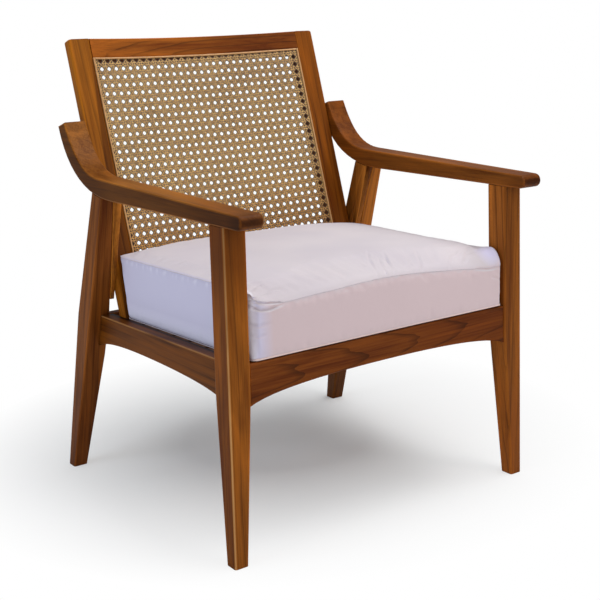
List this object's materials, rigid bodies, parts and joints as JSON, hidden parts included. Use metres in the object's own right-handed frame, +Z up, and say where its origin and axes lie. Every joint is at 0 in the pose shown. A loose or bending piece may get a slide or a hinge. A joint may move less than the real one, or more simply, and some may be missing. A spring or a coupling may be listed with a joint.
{
  "type": "lounge armchair",
  "caption": "Wooden lounge armchair with raked rear legs, upswept arms, a leaning caned back frame and a loose box cushion on a slatted deck.",
  "frame": {"origin": "middle of the chair's footprint box, on the floor", "axes": "+X to the chair's right as seen from the front, +Y from the front legs to the back, +Z up"},
  "size_m": [0.688, 0.6873, 0.854],
  "materials": {
    "teak": "oiled, satin",
    "deck_wood": "bare",
    "cane": "natural",
    "spline": "natural",
    "cushion_cover": "matt woven",
    "steel": "zinc plated"
  },
  "bodies": {
    "chair": {"front_leg_left": "teak", "front_leg_right": "teak", "rear_leg_left": "teak", "rear_leg_right": "teak", "rear_packer_left": "teak", "rear_packer_right": "teak", "arm_left": "teak", "arm_right": "teak", "side_rail_left": "teak", "side_rail_right": "teak", "front_rail": "teak", "rear_rail": "teak", "back_stile_left": "teak", "back_stile_right": "teak", "back_top_rail": "teak", "back_bottom_rail": "teak", "seat_cleat_left": "deck_wood", "seat_cleat_right": "deck_wood", "corner_block_left": "deck_wood", "corner_block_right": "deck_wood", "deck_slat_1": "deck_wood", "deck_slat_2": "deck_wood", "deck_slat_3": "deck_wood", "deck_slat_4": "deck_wood", "deck_slat_5": "deck_wood", "deck_slat_6": "deck_wood", "deck_slat_7": "deck_wood", "horn_dowel_1_left": "deck_wood", "horn_dowel_1_right": "deck_wood", "horn_dowel_2_left": "deck_wood", "horn_dowel_2_right": "deck_wood", "packer_dowel_left": "deck_wood", "packer_dowel_right": "deck_wood", "cane_panel": "cane", "cane_spline_top": "spline", "cane_spline_bottom": "spline", "cane_spline_left": "spline", "cane_spline_right": "spline", "cleat_screw_1_left": "steel", "cleat_screw_1_right": "steel", "cleat_screw_2_left": "steel", "cleat_screw_2_right": "steel", "cleat_screw_3_left": "steel", "cleat_screw_3_right": "steel", "stile_bolt_1_left": "steel", "stile_bolt_1_right": "steel", "stile_bolt_2_left": "steel", "stile_bolt_2_right": "steel"},
    "cushion": {"seat_cushion": "cushion_cover"}
  },
  "joints": [
    {"name": "cushion_lift", "type": "slide", "parent": "chair", "child": "cushion", "axis": [0, 0, 1], "range_m": [0, 0.55]}
  ]
}
